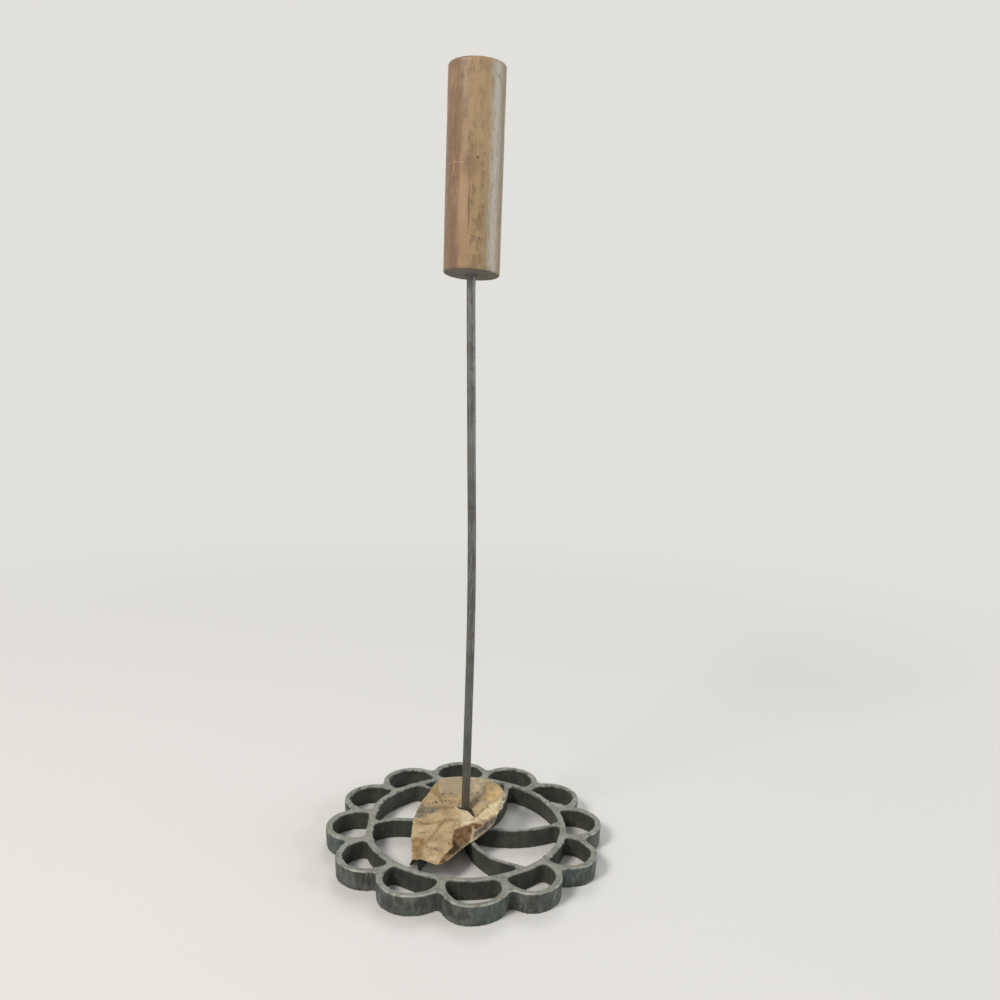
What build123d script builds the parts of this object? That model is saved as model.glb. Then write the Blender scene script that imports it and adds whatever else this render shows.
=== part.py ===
from build123d import *
from math import cos, radians, sin, tan
import os

# A rosette iron: a cast flower-shaped mould on a long steel rod with a wooden
# handle, and a crumpled scrap of paper label that the rod has pierced.
# Millimetres, +Z up. The origin is on the rod's axis, on the surface that the
# casting stands on. Petals point along +X, -X, +Y and -Y.

# Rosette casting, measured on its top face
tip_radius = 76.2
casting_height = 11.0
draft_angle = 2.5
petal_count = 12
petal_overlap = 4.11
petal_tip_wall = 3.35
petal_side_wall = 3.95
petal_window_fillet = 2.8
notch_fillet = 2.4
ring_inner_radius = 52.3
ring_width = 3.6
top_edge_rounding = 0.55

# Pinwheel spokes and the hub boss
spoke_count = 6
spoke_width = 2.4
spoke_sagitta = 8.0
spoke_fillet = 2.6
hub_radius = 6.5
hub_fillet = 1.2
boss_rise = 6.6
boss_draft = 4.0
boss_rounding = 0.8

# Steel rod, straight at first and then gently bent towards -X
rod_radius = 2.25
rod_end_height = 1.5
rod_straight_height = 100.0
rod_bend_rise = 80.0
rod_lean_angle = 1.95
rod_return_height = 292.0
rod_return_rise = 14.7
rod_chamfer = 0.4
thread_clearance = 0.03

# Wooden handle with a blind bore, sawn out of square at its lower end
handle_radius = 14.3
handle_length = 99.7
handle_top_rounding = 1.8
handle_bottom_rounding = 1.0
handle_cut_angle = 6.9
handle_cut_direction = 71.0
bore_depth = 65.0
bore_clearance = 0.03
bore_tip_gap = 2.0
drill_point_angle = 59.0

# Paper label, pierced by the rod and lying on boss, ring and one spoke
paper_thickness = 0.3
paper_hole_clearance = 0.6
paper_gap = 0.7
paper_rest_gap = 0.35
paper_tip_overlap = 0.3
paper_tip_direction = 234.0
paper_spoke_share = 0.37
paper_spoke_direction = 300.0
# How far it reaches from the rod, and how high its rear edge and front arch stand
paper_left = 29.0
paper_right = 23.0
paper_rear = 18.0
paper_front = 42.5
paper_rear_rise = 10.5
paper_arch_rise = 3.2

# Neighbouring petals overlap along the line between their centres
petal_spread = sin(radians(180 / petal_count))
petal_radius = (petal_overlap / 2 + tip_radius * petal_spread) / (1 + petal_spread)
petal_centre_radius = tip_radius - petal_radius
petal_window_radius = petal_radius - petal_side_wall
petal_window_centre = tip_radius - petal_tip_wall - petal_window_radius
ring_outer_radius = ring_inner_radius + ring_width
ring_middle_radius = ring_inner_radius + ring_width / 2
casting_top = Plane.XY.offset(casting_height)
# How much further out a window's walls stand on the bottom face than on the top
draft_inset = casting_height * tan(radians(draft_angle))

from_below = (Align.CENTER, Align.CENTER, Align.MIN)


def wall_corners(piece):
    """Edges where two drafted walls meet, nearest the origin first."""
    rims_and_seams = (GeomType.CIRCLE, GeomType.LINE)
    corners = piece.edges().filter_by(lambda edge: edge.geom_type not in rims_and_seams)
    return corners.sort_by(SortBy.DISTANCE)


# The space inside the petal on +X: round under the tip, and following the ring
with BuildPart() as petal_window:
    with Locations((petal_window_centre, 0)):
        Cone(petal_window_radius + draft_inset, petal_window_radius, casting_height, align=from_below)
    Cone(
        ring_outer_radius - draft_inset,
        ring_outer_radius,
        casting_height,
        align=from_below,
        mode=Mode.SUBTRACT,
    )
    fillet(wall_corners(petal_window), petal_window_fillet)

# Centre line of the spoke on +X, an arc bowed to its clockwise side
half_spoke = ring_middle_radius / 2
spoke_arc_radius = (half_spoke**2 + spoke_sagitta**2) / (2 * spoke_sagitta)
spoke_arc_centre = Vector(half_spoke, spoke_arc_radius - spoke_sagitta)
next_arc_centre = spoke_arc_centre.rotate(Axis.Z, 360 / spoke_count)
with BuildLine() as spoke_line:
    ThreePointArc((0, 0), (half_spoke, -spoke_sagitta), (ring_middle_radius, 0))

# The space between that spoke, the next one, the hub and the ring
inner_arc = spoke_arc_radius - spoke_width / 2
outer_arc = spoke_arc_radius + spoke_width / 2
with BuildPart() as spoke_window:
    Cone(ring_inner_radius + draft_inset, ring_inner_radius, casting_height, align=from_below)
    with Locations(spoke_arc_centre):
        Cone(inner_arc + draft_inset, inner_arc, casting_height, align=from_below, mode=Mode.INTERSECT)
    with Locations(next_arc_centre):
        Cone(outer_arc - draft_inset, outer_arc, casting_height, align=from_below, mode=Mode.SUBTRACT)
    Cone(hub_radius - draft_inset, hub_radius, casting_height, align=from_below, mode=Mode.SUBTRACT)
    fillet(wall_corners(spoke_window)[-2:], spoke_fillet)
    fillet(wall_corners(spoke_window)[:2], hub_fillet)

with BuildPart() as rosette_casting:
    Cylinder(petal_centre_radius, casting_height, align=from_below)
    with PolarLocations(petal_centre_radius, petal_count):
        Cone(petal_radius - draft_inset, petal_radius, casting_height, align=from_below)
    fillet(wall_corners(rosette_casting), notch_fillet)
    with PolarLocations(0, petal_count):
        add(petal_window.part, mode=Mode.SUBTRACT)
    with PolarLocations(0, spoke_count):
        add(spoke_window.part, mode=Mode.SUBTRACT)
    top_face = rosette_casting.faces().sort_by(Axis.Z)[-1]
    fillet(top_face.edges(), top_edge_rounding)
    # Raised boss with the tapped hole
    with BuildSketch(casting_top.offset(-top_edge_rounding)):
        Circle(hub_radius)
    extrude(amount=boss_rise + top_edge_rounding, taper=boss_draft)
    fillet(rosette_casting.edges().filter_by(GeomType.CIRCLE).sort_by(Axis.Z)[-1], boss_rounding)
    Hole(rod_radius + thread_clearance)
rosette_casting.part.label = "rosette_casting"

# Middle line of the rod: straight, bent, straight and leaning, back upright
first_bend_radius = rod_bend_rise / sin(radians(rod_lean_angle))
return_bend_radius = rod_return_rise / sin(radians(rod_lean_angle))
leaning_rise = rod_return_height - rod_straight_height - rod_bend_rise
leaning_length = leaning_rise / cos(radians(rod_lean_angle))
handle_base_height = rod_return_height + rod_return_rise
with BuildLine(Plane.XZ) as rod_line:
    upright = Line((0, rod_end_height), (0, rod_straight_height))
    first_bend = JernArc(upright @ 1, upright % 1, first_bend_radius, rod_lean_angle)
    leaning = PolarLine(first_bend @ 1, leaning_length, direction=first_bend % 1)
    return_bend = JernArc(leaning @ 1, leaning % 1, return_bend_radius, -rod_lean_angle)
    PolarLine(return_bend @ 1, bore_depth - bore_tip_gap, direction=return_bend % 1)
handle_offset = (rod_line.line @ 1).X

with BuildPart() as rod:
    with BuildSketch(Plane.XY.offset(rod_end_height)):
        Circle(rod_radius)
    sweep(path=rod_line.line)
    ends = rod.faces().filter_by(GeomType.PLANE)
    chamfer(ends.edges(), rod_chamfer)
rod.part.label = "rod"

handle_base = Plane((handle_offset, 0, handle_base_height))
# The lower end slopes down towards the back and a little to the right
cut_normal = Vector(0, 0, 1).rotate(Axis.Y, handle_cut_angle).rotate(Axis.Z, handle_cut_direction)
handle_cut = Plane(handle_base.origin, z_dir=cut_normal)
handle_overhang = (handle_radius + handle_bottom_rounding) * tan(radians(handle_cut_angle))
with BuildPart() as handle:
    with BuildSketch(handle_base.offset(-handle_overhang)):
        Circle(handle_radius)
    extrude(amount=handle_overhang + handle_length)
    split(bisect_by=handle_cut, keep=Keep.TOP)
    rims = handle.edges().filter_by(GeomType.LINE, reverse=True).sort_by(Axis.Z)
    fillet(rims[0], handle_bottom_rounding)
    fillet(rims[-1], handle_top_rounding)
    # Blind bore, ending in the drill's point
    bore_radius = rod_radius + bore_clearance
    with BuildSketch(handle_base.offset(-handle_overhang)):
        Circle(bore_radius)
    extrude(amount=handle_overhang + bore_depth, mode=Mode.SUBTRACT)
    with Locations((handle_offset, 0, handle_base_height + bore_depth)):
        drill_point = bore_radius / tan(radians(drill_point_angle))
        Cone(bore_radius, 0, drill_point, align=from_below, mode=Mode.SUBTRACT)
handle.part.label = "handle"

# Corners of the paper's folds, on its underside. Each lies at a share of the
# paper's reach to the right or left, of its reach to the rear or front, and of
# a rise: the rear edge's above the pierced point, or the arch's above the casting.
raised_corners = {
    "pierced": (0, 0, 0),
    "right_corner": (0.83, -0.06, 0.07),
    "right_edge": (1.0, 0.42, 0.35),
    "rear_right": (0.9, 0.74, 0.6),
    "rear_right_top": (0.63, 0.95, 0.88),
    "rear_top": (0.27, 0.97, 1.0),
    "rear_top_left": (-0.09, 1.0, 1.0),
    "rear_left": (-0.42, 1.0, 0.92),
    "left_shoulder": (-0.56, 0.87, 0.73),
    "left_upper": (-0.71, 0.6, 0.4),
    "left_middle": (-0.86, 0.3, 0.16),
    "left_lower": (-1.0, -0.18, -0.12),
    "crest": (-0.31, -0.47, -0.08),
    "lip": (0.24, -0.24, 0.1),
    "right_tuck": (0.74, -0.19, -0.17),
    "right_drop": (0.5, -0.34, -0.36),
}
resting_corners = {
    "left_front": (-1.0, -0.72, 0.65),
    "arch_top": (-0.79, -1.0, 1.0),
    "arch_foot": (-0.64, -0.98, 0.12),
    "front_crest": (-0.4, -0.8, 0.7),
    "front_drop": (-0.37, -0.88, 0.1),
    "middle_drop": (-0.04, -0.62, 0.1),
}
pierced_height = casting_height + boss_rise + paper_gap
rest_height = casting_height + paper_rest_gap


def fold_corners(corners, level, rise):
    """The corners' places, from shares of the paper's reaches and of a rise."""
    places = {}
    for name, (across, along, up) in corners.items():
        x = across * (paper_right if across > 0 else paper_left)
        y = along * (paper_rear if along > 0 else paper_front)
        places[name] = Vector(x, y, level + up * rise)
    return places


fold = fold_corners(raised_corners, pierced_height, paper_rear_rise)
fold |= fold_corners(resting_corners, rest_height, paper_arch_rise)
# The front tip lies on the ring, and the right side on a spoke
on_casting = Vector(0, 0, rest_height)
ring_place = Vector(ring_inner_radius + paper_tip_overlap, 0)
fold["front_tip"] = ring_place.rotate(Axis.Z, paper_tip_direction) + on_casting
spoke_place = spoke_line.line @ paper_spoke_share
fold["spoke_crossing"] = spoke_place.rotate(Axis.Z, paper_spoke_direction) + on_casting
facets = [
    ("pierced", "right_corner", "right_edge"),
    ("pierced", "right_edge", "rear_right"),
    ("pierced", "rear_right", "rear_right_top"),
    ("pierced", "rear_right_top", "rear_top"),
    ("pierced", "rear_top", "rear_top_left"),
    ("pierced", "rear_top_left", "rear_left"),
    ("pierced", "rear_left", "left_shoulder"),
    ("pierced", "left_shoulder", "left_upper"),
    ("pierced", "left_upper", "left_middle"),
    ("pierced", "left_middle", "left_lower"),
    ("pierced", "left_lower", "crest"),
    ("left_lower", "left_front", "crest"),
    ("left_front", "front_crest", "crest"),
    ("left_front", "front_tip", "arch_top"),
    ("left_front", "arch_top", "front_crest"),
    ("arch_top", "arch_foot", "front_crest"),
    ("arch_foot", "front_drop", "front_crest"),
    ("front_drop", "middle_drop", "front_crest"),
    ("middle_drop", "crest", "front_crest"),
    ("middle_drop", "spoke_crossing", "crest"),
    ("spoke_crossing", "lip", "crest"),
    ("pierced", "crest", "lip"),
    ("spoke_crossing", "right_drop", "lip"),
    ("right_drop", "right_tuck", "lip"),
    ("right_tuck", "right_corner", "lip"),
    ("pierced", "lip", "right_corner"),
]
with BuildPart() as paper_label:
    for names in facets:
        facet = Face(Wire.make_polygon([fold[name] for name in names]))
        extrude(facet, amount=paper_thickness, dir=(0, 0, 1))
    Hole(rod_radius + paper_hole_clearance)
paper_label.part.label = "paper_label"

os.makedirs("parts", exist_ok=True)
for piece in (rosette_casting, rod, handle, paper_label):
    export_step(piece.part, f"parts/{piece.part.label}.step")
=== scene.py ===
from math import cos, inf, pi, radians, sin, sqrt, tan

import bmesh
import bpy
from mathutils import Matrix, Vector, noise
from mathutils.bvhtree import BVHTree
from mathutils.geometry import delaunay_2d_cdt


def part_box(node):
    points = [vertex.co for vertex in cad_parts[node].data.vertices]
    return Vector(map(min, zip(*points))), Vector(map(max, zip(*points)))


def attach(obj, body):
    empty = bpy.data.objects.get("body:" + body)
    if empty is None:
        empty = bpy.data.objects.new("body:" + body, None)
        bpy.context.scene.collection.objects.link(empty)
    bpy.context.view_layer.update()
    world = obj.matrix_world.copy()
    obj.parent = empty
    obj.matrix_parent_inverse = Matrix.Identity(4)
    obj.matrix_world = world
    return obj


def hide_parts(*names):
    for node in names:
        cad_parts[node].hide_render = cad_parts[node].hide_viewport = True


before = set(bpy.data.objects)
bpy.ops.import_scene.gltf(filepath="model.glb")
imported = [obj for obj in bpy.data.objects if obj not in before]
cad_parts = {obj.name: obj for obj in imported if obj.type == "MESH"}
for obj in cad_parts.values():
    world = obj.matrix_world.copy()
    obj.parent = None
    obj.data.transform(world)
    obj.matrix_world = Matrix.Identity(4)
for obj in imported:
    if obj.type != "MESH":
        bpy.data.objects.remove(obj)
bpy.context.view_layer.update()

# A rosette iron on a pale floor: a sand-cast aluminium rosette, a steel rod,
# a turned wooden handle and a crumpled paper label pierced by the rod.
mm = 0.001

# Camera, at the photograph's angle
camera_place = Vector((-29.9, -464.1, 266.3)) * mm
camera_turn = radians(5.29)
camera_dip = radians(9.0)
camera_roll = radians(2.05)
camera_lens = 32.4
camera_sensor = 36
camera_near = 0.01

# Casting, as an even mesh with slightly relaxed corners
casting_height = 11.0 * mm
casting_voxel = 0.66 * mm
weld_distance = 0.001 * mm
relax_share = 0.5
relax_rounds = 2
# How far a wall looks across a window for the wall that faces it, and where its sight starts
window_reach = 60 * mm
sight_start = 0.5 * mm
sight_drop = 0.4 * mm
# How level a normal is on a wall, and how far it points up on a rim and on an upper face
wall_level = 0.5
rim_up_least = 0.08
rim_up_most = 0.93
face_up = 0.9
# The walls wander in and out and have a grain: how far, and how large the bumps are
wall_wander = 0.16 * mm
wander_size = 9 * mm
wall_grain = 0.06 * mm
grain_size = 1.9 * mm
# The flat upper faces stand out no more than this
face_rise = 0.06 * mm
# The rims are ragged in patches: they stand out into the windows and are nicked on the outside.
# Rims at the rear that face the middle are more so
rim_depth = 1.6 * mm
rim_nicks = 0.9 * mm
nick_size = 1.7 * mm
nick_patch = 17 * mm
rear_nicks = 2.2
outer_nicks = -0.6
# Chips in the rims of the rear windows. A chip deeper than chip_bare looks like an inner wall, with its
# painted shade
chip_size = 1.0 * mm
chip_depth = 1.0 * mm
chip_slope = 0.2
chip_bare = 0.35
chip_sight = 1.6 * mm
chip_up_least = 0.05
chip_level_least = 0.1
# The pattern was carved by hand, so the casting isn't quite even. Each place, in
# millimetres, is shifted by so much, fading out over its reach.
uneven = [
    ((-54, 4), (2.4, 0), 26),
    ((-24, 2), (0, -4), 24),
    ((-17, -64), (1.2, 0), 16),
    ((0, -68), (0, -1.3), 22),
    ((17, -66), (2.2, 0), 18),
    ((22, -46), (2.6, 1.3), 15),
    ((66, -24), (0, -2.2), 10),
    ((68, -44), (0, -1.2), 16),
    ((-60, -30), (0, -0.6), 16),
    ((56, 36), (0.5, -0.8), 16),
]
# Flash left on window rims: x and y in millimetres, its reach and how far it stands out
flashes = [
    (-55.5, 40, 4.5, 1.3),
    (-71.5, 5.5, 4, 0.8),
    (53, -21.5, 4, 0.9),
    (43.5, 29.5, 4, 0.8),
    (-45, 20.5, 7, 0.6),
]
flash_depth = 1.5 * mm
flash_size = 1.4 * mm

# Rod, on the same middle line as the solid one
rod_radius = 2.25 * mm
rod_end_height = 1.5 * mm
rod_bend_start = 100.0 * mm
rod_bend_end = 180.0 * mm
rod_lean = radians(1.95)
rod_return_start = 292.0 * mm
rod_return_end = 306.7 * mm
rod_top = 369.7 * mm
rod_sides = 32
rod_ring_gap = 0.9 * mm
# Its dents, as shares of the radius, and its slight waves between the two bends
rod_dent = 0.022
rod_dent_size = 7 * mm
rod_fine_dent = 0.012
rod_fine_dent_size = 2 * mm
rod_even_end = 2 * mm
rod_wave = 0.12 * mm
rod_wave_size = 40 * mm

# Handle, sawn out of square at its lower end
handle_base = 306.7 * mm
handle_cut = radians(6.9)
handle_cut_direction = radians(71)
handle_cut_fade = 12 * mm
handle_top_rounding = 1.8 * mm
handle_bottom_rounding = 1.0 * mm
handle_sides = 144
handle_rings = 110
rounding_steps = 6
# The wood further out than dented_from of the radius has shallow dents, with finer ones in them
dented_from = 0.8
handle_dents = 0.12 * mm
handle_dent_size = 16 * mm
handle_dent_depth = 0.6
handle_fine_dents = 0.35
handle_fine_dent_size = 4 * mm
# The bore, which has bare wood out to bore_reach times its radius
bore_radius = 2.3 * mm
bore_depth = 65.0 * mm
bore_point = 1.4 * mm
bore_chamfer = 0.3 * mm
bore_rings = 8
bore_reach = 1.2
# Rings across the two ends, as shares of the radius
lower_end_rings = (0.3, 0.45, 0.6, 0.72, 0.84)
upper_end_rings = (0.72, 0.55, 0.4, 0.25, 0.12)
# How far the look of the bare ends reaches round their edges
lower_end_reach = 0.5 * mm
upper_end_reach = 0.4 * mm
upper_end_share = 0.8
# Growth rings round the tree's pith, which lies outside the handle's middle
pith = Vector((-11, 8, 0)) * mm
growth_ring = 1.7 * mm

# Paper. Where a size has no unit, it is in millimetres on the sheet
paper_thickness = 0.16 * mm
paper_fold_levels = 4
# Corners that are nearer than this are one
same_place = 1e-6
crest_sharpness = 0.9
valley_sharpness = 0.7
paper_crumple = 0.4 * mm
wrinkle_size = 7 * mm
crumple_size = 9 * mm
fine_crumple_size = 2.5 * mm
zone_wander_size = 2.5 * mm
arch_soft = 0.1
rim_width = 0.7
fold_shade_width = 1.5
ridge_width = 1.2
# The cut edge is nearly straight, and the torn one is ragged
paper_raggedness = 0.22 * mm
torn_raggedness = 0.7 * mm
ragged_size = 2.2 * mm
ragged_width = 1.0
mark_height = 2.4 * mm
mark_size = 1.2 * mm
mark_fade = 0.4 * mm


def linear(level):
    """A level of a screen's colour, given as 0 to 255, as light from 0 to 1."""
    level = level / 255
    if level <= 0.04045:
        return level / 12.92
    return ((level + 0.055) / 1.055) ** 2.4


def srgb(red, green, blue):
    """A colour given as 0 to 255, as the linear RGBA that a socket takes."""
    return (linear(red), linear(green), linear(blue), 1.0)


# Surroundings
floor_radius = 12.0
floor_sides = 96
floor_fade = (0.28, 0.95)
floor_roughness = 0.85
backdrop_colour = srgb(226, 224, 219)
world_colour = (0.97, 0.98, 1.0, 1.0)
world_strength = 0.38
# Lamps: place, size, power and colour
lamps = {
    "key": ((-1.1, -0.9, 1.4), 0.6, 23.5, (1.0, 0.97, 0.93)),
    "window": ((1.5, -0.2, 0.6), 0.9, 8, (0.92, 0.97, 1.0)),
    "rear": ((0.2, 1.4, 1.5), 1.0, 8, (1, 1, 1)),
}
lamp_aim = Vector((0, 0, 0.15))


def put(tree, socket, value):
    """Links a socket to another one, or sets it to a constant."""
    if isinstance(value, bpy.types.NodeSocket):
        tree.links.new(value, socket)
    else:
        socket.default_value = value


def new_node(tree, kind, inputs=None, **settings):
    made = tree.nodes.new("ShaderNode" + kind)
    for name, value in settings.items():
        setattr(made, name, value)
    for socket, value in (inputs or {}).items():
        put(tree, made.inputs[socket], value)
    return made


class Look:
    """A procedural material, built one node at a time."""

    def __init__(self, name, **constants):
        self.material = bpy.data.materials.new(name)
        self.material.use_nodes = True
        self.tree = self.material.node_tree
        self.shader = self.tree.nodes["Principled BSDF"]
        for socket, value in constants.items():
            self.set(socket.replace("_", " "), value)
        self.here = self.node("TexCoord").outputs["Object"]

    def set(self, socket, value):
        """Links one of the shader's own sockets, or sets it to a constant."""
        put(self.tree, self.shader.inputs[socket], value)

    def node(self, kind, inputs=None, **settings):
        return new_node(self.tree, kind, inputs, **settings)

    def place(self, stretch=(1, 1, 1), shift=(0, 0, 0), where=None):
        inputs = {"Vector": where or self.here, "Scale": stretch, "Location": shift}
        return self.node("Mapping", inputs).outputs[0]

    def cloud(self, size, detail=3, where=None, roughness=0.5):
        """Noise from 0 to 1 whose patches are about size across."""
        inputs = {"Vector": where or self.here, "Scale": 1 / size, "Detail": detail, "Roughness": roughness}
        return self.node("TexNoise", inputs).outputs["Fac"]

    def cells(self, size, where=None):
        """How far a point is from the middle of its cell, in cells of about size across."""
        inputs = {"Vector": where or self.here, "Scale": 1 / size}
        return self.node("TexVoronoi", inputs).outputs["Distance"]

    def spread(self, value, low, high, to_low=0.0, to_high=1.0):
        """value from low..high, eased to to_low..to_high."""
        inputs = {0: value, 1: low, 2: high, 3: to_low, 4: to_high}
        return self.node("MapRange", inputs, interpolation_type="SMOOTHSTEP").outputs[0]

    def calc(self, operation, first, second=0.0):
        return self.node("Math", {0: first, 1: second}, operation=operation).outputs[0]

    def times(self, first, second):
        return self.calc("MULTIPLY", first, second)

    def swing(self, value, width):
        """value from 0..1, moved to the two sides of zero, width apart."""
        return self.times(self.calc("SUBTRACT", value, 0.5), width)

    def vector(self, operation, first, second):
        return self.node("VectorMath", {0: first, 1: second}, operation=operation).outputs["Vector"]

    def number(self, operation, first, second=(0, 0, 0)):
        """The number that a DISTANCE, DOT_PRODUCT or LENGTH of vectors gives."""
        return self.node("VectorMath", {0: first, 1: second}, operation=operation).outputs["Value"]

    def part(self, vector, axis):
        """One of a vector's three numbers."""
        return self.node("SeparateXYZ", {0: vector}).outputs[axis]

    def mix(self, share, first, second):
        inputs = {0: share, 6: first, 7: second}
        return self.node("Mix", inputs, data_type="RGBA").outputs[2]

    def two_tone(self, value, low, high, first, second):
        """The first colour where value is low, and the second where it is high."""
        return self.mix(self.spread(value, low, high), srgb(*first), srgb(*second))

    def layered(self, colour, layers):
        """A colour under others, each laid on where its mask is 1, up to its share."""
        for mask, most, shade in layers:
            share = mask if most == 1 else self.times(mask, most)
            shade = shade if isinstance(shade, bpy.types.NodeSocket) else srgb(*shade)
            colour = self.mix(share, colour, shade)
        return colour

    def attribute(self, name):
        return self.node("Attribute", attribute_name=name).outputs["Fac"]

    def finish(self, colour, roughness, bump, metallic=0.0):
        """Puts the looks on the shader. bump is a list of heights and how far each stands out."""
        self.set("Base Color", colour)
        self.set("Roughness", roughness)
        self.set("Metallic", metallic)
        normal = None
        for height, distance in bump:
            inputs = {"Height": height, "Distance": distance, "Strength": 1.0}
            if normal is not None:
                inputs["Normal"] = normal
            normal = self.node("Bump", inputs).outputs[0]
        self.set("Normal", normal)
        return self.material


def ripple(point, size, offset=0.0):
    """Smooth noise from -1 to 1 whose bumps are about size across."""
    x, y, z = (reach / size for reach in point)
    return noise.noise(Vector((x + offset, y - offset, z + 2 * offset)))


def level_direction(turn):
    """A direction on the level, turned from +X by so many degrees."""
    return Vector((cos(radians(turn)), sin(radians(turn)), 0))


def new_piece(name, mesh, material):
    piece = bpy.data.objects.new(name, mesh)
    bpy.context.scene.collection.objects.link(piece)
    mesh.materials.clear()
    mesh.materials.append(material)
    mesh.shade_smooth()
    return piece


def applied(piece):
    """The piece's mesh with its modifiers applied."""
    graph = bpy.context.evaluated_depsgraph_get()
    mesh = bpy.data.meshes.new_from_object(piece.evaluated_get(graph))
    piece.modifiers.clear()
    old = piece.data
    piece.data = mesh
    bpy.data.meshes.remove(old)
    return mesh


def point_values(mesh, name, values):
    """Writes one number per point as an attribute."""
    attribute = mesh.attributes.new(name, "FLOAT", "POINT")
    attribute.data.foreach_set("value", values)


def revolve(name, profile, sides, axis_x):
    """A closed mesh from a profile of (radius, height) that starts and ends on the axis."""
    mesh = bpy.data.meshes.new(name)
    shape = bmesh.new()
    turns = [2 * pi * side / sides for side in range(sides)]
    rings = []
    for radius, height in profile:
        if radius == 0:
            rings.append([shape.verts.new((axis_x, 0, height))])
            continue
        circle = [(axis_x + radius * cos(a), radius * sin(a), height) for a in turns]
        rings.append([shape.verts.new(point) for point in circle])
    for lower, upper in zip(rings, rings[1:]):
        for side in range(sides):
            after = (side + 1) % sides
            around = [lower[side % len(lower)], lower[after % len(lower)]]
            around += [upper[after % len(upper)], upper[side % len(upper)]]
            shape.faces.new(list(dict.fromkeys(around)))
    bmesh.ops.recalc_face_normals(shape, faces=shape.faces)
    shape.to_mesh(mesh)
    shape.free()
    return mesh


def quarter_arc(centre_radius, centre_height, rounding, start):
    """Points of a quarter circle in the (radius, height) plane, from angle start, anticlockwise."""
    angles = [radians(start + 90 * step / rounding_steps) for step in range(rounding_steps + 1)]
    return [(centre_radius + rounding * cos(a), centre_height + rounding * sin(a)) for a in angles]


# Cast rosette


def cast_aluminium():
    look = Look("cast_aluminium")
    up = look.attribute("up")
    inner = look.attribute("inner")
    top = look.spread(up, 0.55, 0.9)
    rim = look.times(look.spread(up, 0.1, 0.35), look.spread(up, 0.82, 0.99, 1.0, 0.0))
    patches = look.cloud(7 * mm, 4)
    broad = look.cloud(34 * mm, 2)
    grain = look.cloud(0.8 * mm, 4, roughness=0.6)
    fine = look.cloud(0.3 * mm, 2)
    streaks = look.cloud(1.3 * mm, 3, look.place((1, 1, 0.12)))
    scuffs = look.cloud(2.6 * mm, 4, look.place((1, 1, 0.4), (0.03, 0, 0)), roughness=0.6)
    pits = look.spread(look.cells(1.2 * mm), 0.12, 0.34, 1.0, 0.0)
    pitted = look.times(pits, look.spread(look.cloud(4 * mm, 2), 0.42, 0.58))

    side = look.two_tone(patches, 0.38, 0.62, (70, 74, 67), (98, 103, 97))
    side = look.layered(side, [
        (look.spread(broad, 0.48, 0.62), 0.5, (80, 95, 95)),
        (look.spread(streaks, 0.45, 0.75), 0.4, (114, 118, 112)),
        (look.spread(grain, 0.5, 0.75), 0.5, (66, 66, 58)),
        (look.spread(scuffs, 0.54, 0.66), 0.6, (122, 127, 121)),
        (look.spread(scuffs, 0.46, 0.34), 0.6, (64, 61, 50)),
    ])
    # Inner walls are darker than the outer sides: painted shade in the windows
    wall = look.two_tone(patches, 0.35, 0.65, (56, 60, 53), (76, 76, 66))
    wall = look.layered(wall, [
        (look.spread(streaks, 0.45, 0.72), 0.4, (90, 91, 82)),
        (look.spread(grain, 0.5, 0.72), 0.6, (44, 46, 40)),
        (look.spread(fine, 0.58, 0.72), 0.35, (112, 112, 102)),
    ])
    face = look.two_tone(patches, 0.38, 0.62, (106, 107, 97), (136, 136, 126))
    face = look.layered(face, [
        (look.spread(grain, 0.42, 0.7), 0.8, (147, 146, 136)),
        (pitted, 1.0, (72, 70, 60)),
    ])

    # Rims are lighter, partly from wear and partly as a painted highlight, less so on inner walls
    rim_wear_and_highlight = look.times(rim, look.spread(look.cloud(3.5 * mm, 4), 0.35, 0.62, 0.2, 1.0))
    rim_wear_and_highlight = look.times(rim_wear_and_highlight, look.spread(inner, 0.0, 1.0, 1.0, 0.55))
    glints = look.times(look.spread(fine, 0.62, 0.74), look.spread(up, 0.1, 0.9, 0.08, 0.6))
    # The hub under the paper label is darkened as painted shade
    from_hub = look.number("DISTANCE", look.here, (0, 0, casting_height + 5 * mm))
    hub_shade = look.spread(from_hub, 6.5 * mm, 11.5 * mm, 1.0, 0.0)
    colour = look.layered(look.mix(inner, side, wall), [
        (top, 1.0, face),
        (rim_wear_and_highlight, 0.8, (172, 174, 165)),
        (glints, 1.0, (206, 207, 200)),
        (hub_shade, 0.9, (54, 48, 39)),
    ])

    rough = look.spread(grain, 0.3, 0.7, 0.66, 0.46)
    rough = look.calc("ADD", rough, look.times(inner, 0.15))
    metal = look.spread(inner, 0.0, 1.0, 0.6, 0.25)
    bump = [(grain, 0.19 * mm), (pits, -0.12 * mm), (fine, 0.08 * mm), (streaks, 0.1 * mm)]
    return look.finish(colour, rough, bump, metal)


def away_from(place, x, y, reach):
    """How far a place is from a point given in millimetres, as a share of the point's reach."""
    return sqrt((place.x - x * mm) ** 2 + (place.y - y * mm) ** 2) / (reach * mm)


def unevenness(place):
    """How far the casting is out of its even shape at a place."""
    shift = Vector((0, 0, 0))
    for (x, y), (shift_x, shift_y), reach in uneven:
        away = away_from(place, x, y, reach)
        if away < 1:
            shift += (1 - away**2) ** 2 * Vector((shift_x, shift_y, 0)) * mm
    return shift


def flash(place):
    """How far flash stands out of a window's wall at a place."""
    found = 0.0
    if place.z > casting_height - flash_depth:
        for x, y, reach, lift in flashes:
            away = away_from(place, x, y, reach)
            if away < 1:
                found += lift * mm * (1 - away**2) * (0.7 + 0.6 * ripple(place, flash_size, 4.0))
    return found


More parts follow.
